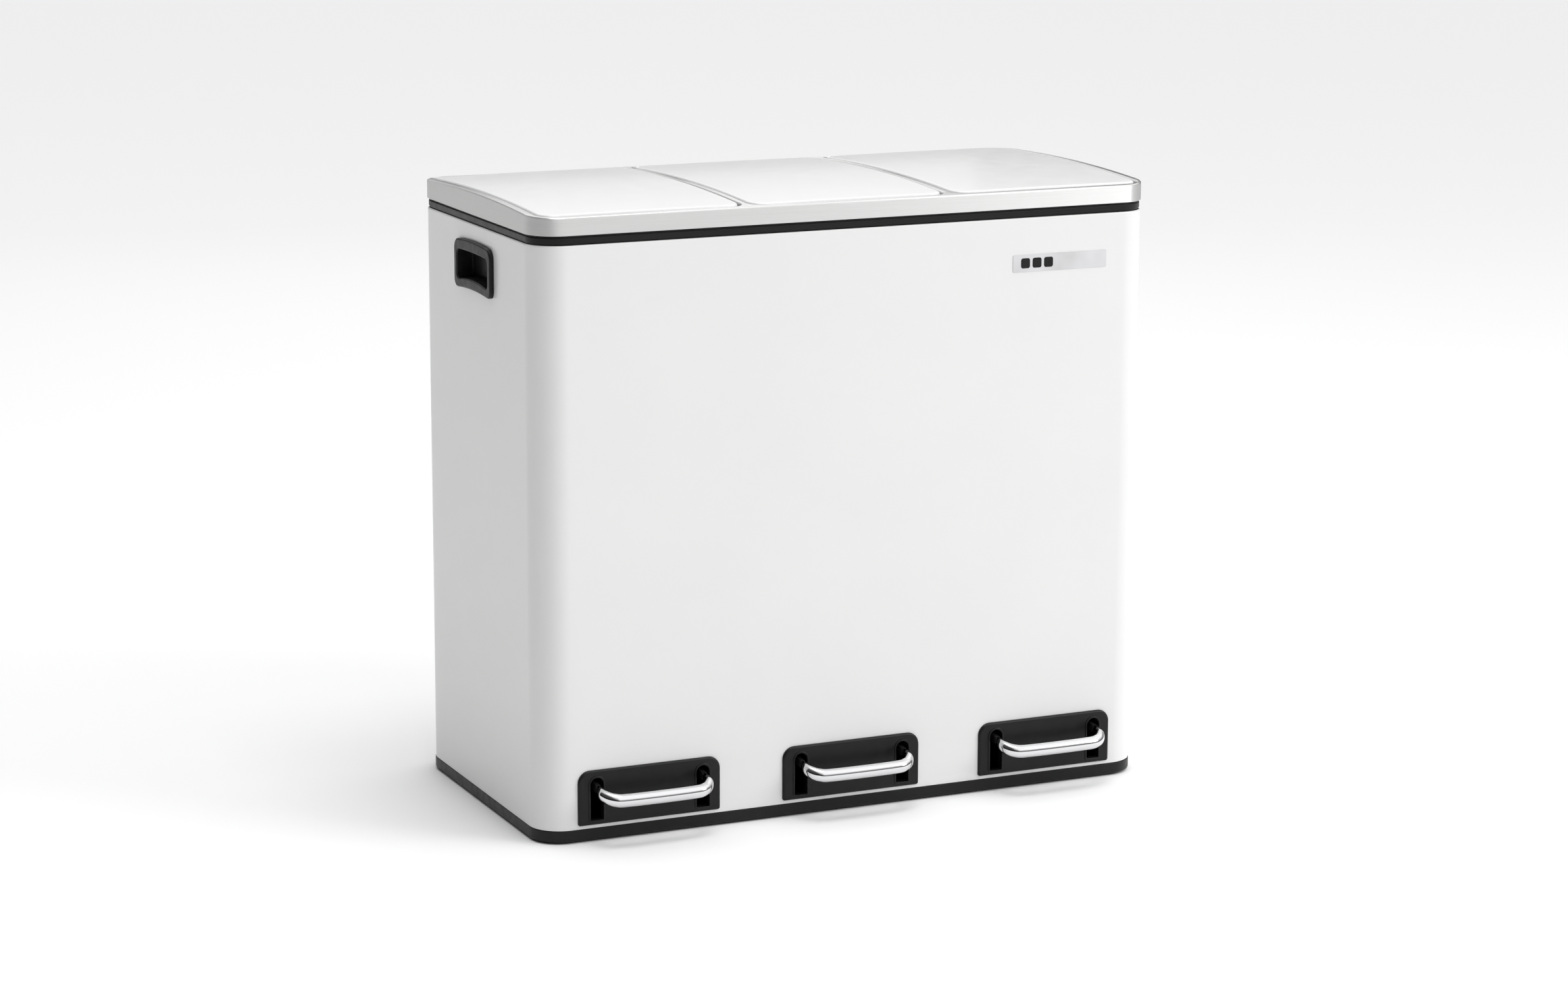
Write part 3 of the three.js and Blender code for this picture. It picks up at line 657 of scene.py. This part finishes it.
def half_turn():
    """Angles from a little below level at the back, over the top, to level at the front."""
    return [math.radians(-30 + 210 * i / 14) for i in range(15)]


def base():
    """The black base: a rounded skirt, a floor with shallow pockets beneath, and the axle posts."""
    bm = bmesh.new()
    round_bottom = 2.2
    outer = [(plan(2.6), BASE_BOTTOM + 3), (plan(2.6), BASE_TOP - 0.4), (plan(2.2), BASE_TOP)]
    outer += [(plan(0.7 * (1 - s)), BASE_TOP - 0.7 * (1 - c)) for s, c in quarter(4)]
    outer += [(plan(round_bottom * (1 - c)), BASE_BOTTOM + round_bottom * (1 - s)) for s, c in quarter(6)]
    floor = BASE_BOTTOM
    pockets = []
    for i in range(8):
        for y0, y1 in ((-95, -8), (8, 95)):
            x0 = -232 + i * 58.7
            shape = rounded(x0, y0, x0 + 53, y1, 6, steps=3)
            inner = rounded(x0 + 1.2, y0 + 1.2, x0 + 51.8, y1 - 1.2, 5, steps=3)
            pockets.append([(shape, floor), (inner, floor + 1.2)])
    outer.reverse()
    solid(bm, at, outer, pockets=pockets)
    for middle in COLUMN.values():
        for side in (-POST_X, POST_X):
            x = middle + side
            block(bm, x - 4, x + 4, AXLE_Y - 8, AXLE_Y + 8, BASE_BOTTOM + 2, AXLE_Z + 7, 0.6)
    piece("base_skirt", bm, BLACK, "cabinet", ["base_tray"])


def side_grip(name, side):
    """A recessed grip: an arched flange round a hollow deep enough for four fingers."""
    bm = bmesh.new()
    face = HALF_X - BODY_INSET

    def place(u, v, w):
        return at(side * (face + w), u * side, v)

    def outline(inset, radius=8):
        half = GRIP_HEIGHT / 2 - inset
        low, high = GRIP_Z - half, GRIP_Z + half
        return arched(GRIP_HALF - inset, low, high, GRIP_ARCH, GRIP_ARCH, max(radius - inset, 1.5))

    def hollow(inset):
        low, high = GRIP_Z - 13.5 + inset, GRIP_Z + 13 - inset
        return arched(38 - inset, low, high, GRIP_ARCH + 1, GRIP_ARCH - 1.5, max(5 - inset, 1))

    edge = 1.6
    outer = [(outline(edge * (1 - s)), 4 - edge * (1 - c)) for s, c in quarter(5)]
    outer += [(outline(0), 0.1), (outline(4.5, 9), 0.1), (outline(4.5, 9), -13)]
    rim = [(hollow(-1.4 * (1 - s)), 4 - 1.4 * (1 - c)) for s, c in quarter(5)]
    rim += [(hollow(0.6), -9.5), (hollow(1.2), -11), (hollow(2.4), -11.5)]
    solid(bm, place, outer, pockets=[rim])
    piece(name, bm, BLACK, "cabinet", [name.replace("_cup", "")])


def badge():
    """A blank pale plate with three small dark tiles, one for each compartment."""
    bm = bmesh.new()
    left, right = BADGE_SIDES

    def plate(inset):
        low, high = BADGE_HEIGHTS
        return rounded(left + inset, low + inset, right - inset, high - inset, 1.5 - inset, steps=5)

    def place(u, v, w):
        return at(u, FRONT - w, v)

    solid(bm, place, [(plate(0.2), 0.45), (plate(0.06), 0.41), (plate(0), 0.27), (plate(0), 0.03)])
    piece("badge_plate", bm, BADGE, "cabinet", ["badge"])
    bm = bmesh.new()
    for i in range(3):
        low = 163 + i * 11.5

        def tile(inset, low=low):
            return rounded(low + inset, 476.8 + inset, low + 9 - inset, 485.8 - inset, 2 - inset, steps=5)

        solid(bm, place, [(tile(0.15), 0.6), (tile(0), 0.5), (tile(0), 0.46)])
    piece("badge_tiles", bm, BLACK, "cabinet")


def pedal_plate(side):
    """The plate round the arm slots, its edge bevelled and each slot ringed by a raised lip."""
    bm = bmesh.new()
    middle = COLUMN[side]

    def place(u, v, w):
        return at(middle + u, w, v)

    def face(inset):
        low, high = PLATE_BOTTOM + inset, PLATE_TOP - inset
        half = PLATE_HALF - inset
        return rounded(-half, low, half, high, 11 - inset, max(2.2 - inset, 0.4), steps=8)

    def slot(x, grow):
        half = SLOT_HALF + grow
        low, high = SLOT_BOTTOM - grow, SLOT_TOP + grow
        return rounded(x - half, low, x + half, high, half - 0.01, 0.8 + max(grow, 0), steps=8)

    edge = 2.2
    outer = [(face(edge * (1 - s)), PLATE_FRONT + edge * (1 - c)) for s, c in quarter(6)]
    half = PLATE_SPIGOT - 0.3
    spigot = rounded(-half, PLATE_BOTTOM + 3.8, half, PLATE_TOP - 4.3, 5.7, 0.7, steps=8)
    outer += [(face(0), FRONT - 0.1), (spigot, FRONT - 0.1), (spigot, FRONT + 4)]
    holes = []
    for x in (-SLOT_X, SLOT_X):
        lip = 1.8
        rings = [(slot(x, lip + 0.3), PLATE_FRONT)]
        for i in range(7):
            turn = math.pi * i / 6
            grow = lip / 2 * (1 + math.cos(turn))
            rings.append((slot(x, grow), PLATE_FRONT - 0.8 * math.sin(turn) ** 0.7))
        rings.append((slot(x, 0), FRONT + 4))
        holes.append(rings)
    solid(bm, place, outer, holes)
    piece(f"pedal_surround_{side}", bm, BLACK, "cabinet", [f"pedal_plate_{side}"])


# ------------------------------------------------------------------ one compartment


def lid(side):
    """The painted lid: an arched panel with soft edges turned down into a skirt."""
    bm = bmesh.new()
    middle = COLUMN[side]

    def surface(u, v):
        return RIM_TOP + LID_PROUD + crown(v) - 0.5 * (u / LID_HALF) ** 2

    def outline(inset):
        low, high = LID_FRONT + inset, LID_BACK - inset
        half = LID_HALF - inset
        return rounded(-half, low, half, high, max(LID_CORNER - inset, 1), along=(12, 18))

    def place(u, v, w):
        return at(middle + u, v, w)

    def below(drop):
        return lambda u, v: surface(u, v) - drop

    edge = LID_EDGE
    inner = 1.2
    outer = [(outline(edge * (1 - s)), below(edge * (1 - c))) for s, c in quarter(8)]
    outer += [
        (outline(0), LID_SKIRT_BOTTOM + 0.3),
        (outline(0.3), LID_SKIRT_BOTTOM),
        (outline(inner - 0.3), LID_SKIRT_BOTTOM),
        (outline(inner), LID_SKIRT_BOTTOM + 0.3),
        (outline(inner), below(edge + 0.2)),
        (outline(edge), below(inner)),
    ]
    solid(bm, place, outer, surface=lambda u, v: place(u, v, surface(u, v)), grid=11)
    piece(f"lid_panel_{side}", bm, WHITE, f"lid_{side}", [f"lid_shell_{side}"])


def bucket(side):
    """A tapering bucket with a rolled rim and a hand hole in its front and back."""
    bm = bmesh.new()
    centre = (BUCKET_FRONT + BUCKET_BACK) / 2
    half_y = (BUCKET_BACK - BUCKET_FRONT) / 2
    middle = COLUMN[side]

    def ring(inset, z):
        scale = BUCKET_TAPER + (1 - BUCKET_TAPER) * (z - BUCKET_BOTTOM) / (BUCKET_TOP - BUCKET_BOTTOM)
        x, y = BUCKET_HALF_X - inset, half_y - inset
        points = rounded(-x, -y, x, y, max(17 - inset, 2), steps=10)
        return [(u * scale, v * scale) for u, v in points], z

    def place(u, v, w):
        return at(middle + u, centre + v, w)

    wall, gap = 3, 5
    outer = [ring(gap + 2, BUCKET_BOTTOM + 2.5)]
    outer += [ring(gap + 2 * (1 - s), BUCKET_BOTTOM + 4.5 - 2 * c) for s, c in quarter(3)]
    outer += [ring(gap, BUCKET_TOP - 9), ring(gap - 0.3, BUCKET_TOP - 1)]
    for turn in (0.2, 0.7, 1.2):
        outer.append(ring(wall + 0.2 - 2.6 * math.sin(turn), BUCKET_TOP - 1.4 + 1.4 * math.cos(turn)))
    outer += [ring(0, BUCKET_TOP - 2.2), ring(0, BUCKET_TOP - 7), ring(1.4, BUCKET_TOP - 7)]
    outer += [ring(1.6, BUCKET_TOP - 3.2), ring(wall, BUCKET_TOP - 3.2), ring(wall, BUCKET_BOTTOM + 3)]
    outer += [ring(wall + 3 * (1 - c), BUCKET_BOTTOM + 3 * (1 - s)) for s, c in quarter(3)][1:]
    solid(bm, place, outer)
    obj = piece(f"bucket_{side}_shell", bm, BUCKET, "cabinet", [f"bucket_{side}"])
    cutter = bmesh.new()
    hand = rounded(middle - 38, BUCKET_TOP - 34, middle + 38, BUCKET_TOP - 12, 5, steps=6)
    prism(cutter, "y", hand, BUCKET_FRONT - 5, BUCKET_BACK + 5, 0)
    carve(obj, cutter)


def carve(obj, cutter):
    """Cuts the cutter's shape out of the object's mesh for good."""
    bmesh.ops.recalc_face_normals(cutter, faces=cutter.faces)
    mesh = bpy.data.meshes.new("cutter")
    cutter.to_mesh(mesh)
    cutter.free()
    tool = bpy.data.objects.new("cutter", mesh)
    bpy.context.scene.collection.objects.link(tool)
    cut = obj.modifiers.new("cut", "BOOLEAN")
    cut.operation = "DIFFERENCE"
    cut.solver = "EXACT"
    cut.object = tool
    obj.modifiers.move(len(obj.modifiers) - 1, 0)
    while len(obj.modifiers) > 1:
        obj.modifiers.remove(obj.modifiers[1])
    evaluated = obj.evaluated_get(bpy.context.evaluated_depsgraph_get())
    carved = bpy.data.meshes.new_from_object(evaluated)
    obj.modifiers.clear()
    obj.data = carved
    carved.set_sharp_from_angle(angle=math.radians(32))
    weighted = obj.modifiers.new("even_shading", "WEIGHTED_NORMAL")
    weighted.keep_sharp = True
    bpy.data.objects.remove(tool)


def tread_bar(side):
    """The chromed bar: a round section swept round a U, flattened and drawn thin at its two ends."""
    bm = bmesh.new()
    middle = COLUMN[side]
    half = [
        ((SLOT_X, BAR_END, BAR_END_Z), (1.6, 4.2)),
        ((SLOT_X, BAR_END - 1, BAR_END_Z - 0.2), (2.2, 4.4)),
        ((SLOT_X, BAR_END - 5, BAR_END_Z - 1.1), (3.4, 5.2)),
        ((SLOT_X - 1.5, BAR_Y + 9, BAR_Z + 2.8), (5, 5.8)),
        ((SLOT_X - 8.5, BAR_Y + 2.2, BAR_Z + 0.7), (BAR_RADIUS, BAR_RADIUS)),
        ((SLOT_X - 22, BAR_Y, BAR_Z), (BAR_RADIUS, BAR_RADIUS)),
    ]
    whole = half + [((-x, y, z), size) for (x, y, z), size in reversed(half)]
    rows = smooth_path([(*p, *size) for p, size in whole], 9)
    rings = []
    for i, (x, y, z, wide, tall) in enumerate(rows):
        before, after = rows[max(i - 1, 0)], rows[min(i + 1, len(rows) - 1)]
        heading = Vector((after[0] - before[0], after[1] - before[1], 0)).normalized()
        across = Vector((0, 0, 1)).cross(heading)
        ring = []
        for k in range(28):
            turn = 2 * math.pi * k / 28
            cos, sin = math.cos(turn), math.sin(turn)
            spot = Vector((x, y, z)) + across * wide * cos + Vector((0, 0, 1)) * tall * sin
            ring.append(bm.verts.new(at(middle + spot.x, spot.y, spot.z)))
        rings.append(ring)
    for one, other in zip(rings, rings[1:]):
        bridge(bm, one, other)
    bm.faces.new(rings[0])
    bm.faces.new(rings[-1])
    piece(f"tread_bar_{side}", bm, CHROME, f"pedal_{side}", [f"pedal_bar_{side}"], smooth=50)


def smooth_path(points, steps):
    """Catmull-Rom interpolation between rows of numbers."""
    rows = []
    last = len(points) - 1
    for i in range(last):
        p0, p1, p2, p3 = (points[max(0, min(last, i + k))] for k in (-1, 0, 1, 2))
        for step in range(steps):
            t = step / steps
            row = []
            for a, b, c, d in zip(p0, p1, p2, p3):
                square, cube = 2 * a - 5 * b + 4 * c - d, 3 * b - a - 3 * c + d
                row.append(b + 0.5 * ((c - a) * t + square * t**2 + cube * t**3))
            rows.append(row)
    rows.append(points[-1])
    return rows


def round_parts(side):
    """Hinge pin, pedal axle, push rod and bumpers, with the chamfers and roundness that CAD leaves out."""
    middle = COLUMN[side]
    bm = bmesh.new()
    pin(bm, (middle - HINGE_PIN / 2, HINGE_Y, HINGE_Z), (1, 0, 0), HINGE_PIN, 2)
    piece(f"hinge_rod_{side}", bm, ZINC, f"lid_{side}", [f"lid_pin_{side}"])
    bm = bmesh.new()
    pin(bm, (middle - AXLE_LENGTH / 2, AXLE_Y, AXLE_Z), (1, 0, 0), AXLE_LENGTH, 3)
    piece(f"axle_rod_{side}", bm, ZINC, "cabinet", [f"pedal_axle_{side}"])
    bm = bmesh.new()
    cross = HINGE_Z - (HINGE_Y - ROD_Y) * math.tan(math.radians(36))
    foot = 43.9
    top = cross + 2.5 - foot
    turned(bm, (middle + ROD_X, ROD_Y, foot), (0, 0, 1), [(0, 1.5), (1.7, 3), (top - 0.5, 3), (top, 2.5)])
    pin(bm, (middle - 4, ROD_Y, cross), (1, 0, 0), 9, 2.5)
    piece(f"lift_rod_{side}", bm, ZINC, f"rod_{side}", [f"push_rod_{side}"])
    for i, x in enumerate((-BUMPER_X, BUMPER_X), 1):
        bm = bmesh.new()
        profile = [(0, 4), (4.4, 3.4), (6.4, 2.9), (7.2, 2.2), (7.6, 1)]
        turned(bm, (middle + x, BUMPER_Y, SHELF_TOP + 0.05), (0, 0, 1), profile)
        piece(f"bumper_{side}_{i}", bm, RUBBER, "cabinet", [f"lid_bumper_{side}_{i}"])


def feet_and_screws():
    """Ribbed rubber feet, and pan-head screws with a cross recess."""
    for i, (x, y) in enumerate([(x, y) for x in (-FOOT_X, FOOT_X) for y in (-FOOT_Y, FOOT_Y)], 1):
        bm = bmesh.new()
        profile = [(0, 8), (0, 9.2), (0.5, 9.4), (0.5, 10.4), (0, 10.6), (0, 11.5), (0.4, 12), (1.5, 12)]
        turned(bm, (x, y, 0), (0, 0, 1), profile, 48)
        piece(f"foot_{i}", bm, RUBBER, "cabinet", [f"foot_pad_{i}"])
    for i, (x, y) in enumerate([(x, y) for x in SCREW_XS for y in SCREW_YS], 1):
        bm = bmesh.new()

        def place(u, v, w, x=x, y=y):
            return at(x + u, y + v, w)

        def circle(radius):
            turns = [k * math.pi / 12 for k in range(24)]
            return [(radius * math.cos(turn), radius * math.sin(turn)) for turn in turns]

        arm, reach = 0.35, 1.6
        cross = [(arm, -reach), (arm, -arm), (reach, -arm), (reach, arm), (arm, arm), (arm, reach)]
        cross += [(-u, -v) for u, v in cross]
        rings = [(circle(2.6), 0.4), (circle(3.2), 0.55), (circle(3.5), 0.9), (circle(3.5), 1.45)]
        rings += [(circle(1.9), 1.45), (circle(1.9), 25), (circle(1.2), 26)]
        solid(bm, place, rings, pockets=[[(cross, 0.4), ([(u * 0.7, v * 0.7) for u, v in cross], 1.2)]])
        piece(f"screw_{i}", bm, ZINC, "cabinet", [f"base_screw_{i}"])


def dress_inner_parts():
    """Finishes for the CAD nodes that stay as they are: plain mouldings and levers inside the cabinet."""
    finishes = {
        "bucket_deck": BLACK,
        "lid_liner": BLACK,
        "lid_damper": BUCKET,
        "rod_guide": BUCKET,
        "pedal_lever": BLACK_STEEL,
    }
    for name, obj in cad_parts.items():
        for start, material in finishes.items():
            if name.startswith(start):
                obj.data.materials.clear()
                obj.data.materials.append(material)
                bevel = obj.modifiers.new("soft_edges", "BEVEL")
                bevel.width = 0.35 * MM
                bevel.segments = 2
                bevel.limit_method = "ANGLE"
                bevel.angle_limit = math.radians(40)
                bevel.harden_normals = False


# ------------------------------------------------------------------ studio

WALL_LIGHT = 0.2
CEILING_LIGHT = 1.3
DIM_SIDE = math.radians(78)  # the dim wall, turned from the front towards the left
DIMMING = 0.06
IMAGE_WIDTH = 2383
SENSOR_WIDTH = 36


def studio():
    """A pale floor, a white surround and soft lights."""
    bm = bmesh.new()
    size = 60
    bm.faces.new([bm.verts.new((x * size, y * size, 0)) for x, y in ((-1, -1), (1, -1), (1, 1), (-1, 1))])
    mesh = bpy.data.meshes.new("studio_floor")
    bm.to_mesh(mesh)
    bm.free()
    floor = bpy.data.objects.new("studio_floor", mesh)
    bpy.context.scene.collection.objects.link(floor)
    pale = Nodes("pale_floor", (0.96, 0.96, 0.96), 0.9)
    pale.rough(pale.noise(3), 0.85, 0.95)
    mesh.materials.append(pale.material)

    surround()

    def softbox(name, place, aim, size, power):
        light = bpy.data.lights.new(name, "AREA")
        light.shape = "RECTANGLE"
        light.size, light.size_y = size
        light.energy = power
        obj = bpy.data.objects.new(name, light)
        obj.location = place
        obj.rotation_euler = (Vector(aim) - Vector(place)).to_track_quat("-Z", "Y").to_euler()
        bpy.context.scene.collection.objects.link(obj)

    softbox("key", (2.3, -2.0, 1.9), (0, 0, 0.3), (1.4, 1.8), 40)
    softbox("top", (-0.1, -0.4, 2.6), (0, 0, 0.5), (1.0, 0.7), 12)
    softbox("fill", (0.9, 2.8, 1.6), (0, 0, 0.4), (1.4, 1.6), 2.5)


def surround():
    """A white ceiling that falls off to dim walls at eye level, dimmest on the left."""
    world = bpy.data.worlds.new("studio")
    bpy.context.scene.world = world
    world.use_nodes = True
    tree = world.node_tree

    def add(kind, **values):
        node = tree.nodes.new(kind)
        for name, value in values.items():
            setattr(node, name, value)
        return node

    def fall(value, start, end, low, high):
        node = add("ShaderNodeMapRange", interpolation_type="SMOOTHSTEP")
        for name, number in (("From Min", start), ("From Max", end), ("To Min", low), ("To Max", high)):
            node.inputs[name].default_value = number
        tree.links.new(value, node.inputs["Value"])
        return node.outputs["Result"]

    heading = add("ShaderNodeTexCoord").outputs["Generated"]
    split = add("ShaderNodeSeparateXYZ")
    tree.links.new(heading, split.inputs["Vector"])
    ceiling = fall(split.outputs["Z"], 0.15, 0.6, WALL_LIGHT, CEILING_LIGHT)
    toward = add("ShaderNodeVectorMath", operation="DOT_PRODUCT")
    toward.inputs[1].default_value = (-math.sin(DIM_SIDE), -math.cos(DIM_SIDE), 0)
    tree.links.new(heading, toward.inputs[0])
    dimming = fall(toward.outputs["Value"], 0.2, 0.65, 1, DIMMING)
    product = add("ShaderNodeMath", operation="MULTIPLY")
    tree.links.new(ceiling, product.inputs[0])
    tree.links.new(dimming, product.inputs[1])
    background = tree.nodes["Background"]
    background.inputs["Color"].default_value = (1, 1, 1, 1)
    tree.links.new(product.outputs["Value"], background.inputs["Strength"])


def camera():
    """A long lens from the front left, a little above the lids.

    The focal length is in pixels of the full picture, and the height is over the base's underside.
    """
    azimuth, elevation, roll = (math.radians(a) for a in (-24.546, 12.025, 0.224))
    focal, distance, aside, height = 5959.993, 3574.62, 0.749, 257.316
    back = Vector(
        (
            math.sin(azimuth) * math.cos(elevation),
            -math.cos(azimuth) * math.cos(elevation),
            math.sin(elevation),
        )
    )
    right = (-back).cross(Vector((0, 0, 1))).normalized()
    up = right.cross(-back)
    turned_right = math.cos(roll) * right + math.sin(roll) * up
    turned_up = math.cos(roll) * up - math.sin(roll) * right
    target = at(aside * math.cos(azimuth), aside * math.sin(azimuth), height + FOOT_HEIGHT)
    data = bpy.data.cameras.new("camera")
    data.lens = focal / IMAGE_WIDTH * SENSOR_WIDTH
    data.sensor_width = SENSOR_WIDTH
    data.clip_end = 200
    obj = bpy.data.objects.new("camera", data)
    turn = Matrix((turned_right, turned_up, back)).transposed().to_4x4()
    obj.matrix_world = Matrix.Translation(target + back * distance * MM) @ turn
    bpy.context.scene.collection.objects.link(obj)
    bpy.context.scene.camera = obj


camera()
body_wall()
rear_seam()
top_rim()
collar()
base()
side_grip("side_grip_left_cup", -1)
side_grip("side_grip_right_cup", 1)
badge()
feet_and_screws()
for compartment in SIDES:
    lid(compartment)
    bucket(compartment)
    pedal_plate(compartment)
    tread_bar(compartment)
    round_parts(compartment)
dress_inner_parts()
studio()
bpy.context.scene.view_settings.view_transform = "Standard"
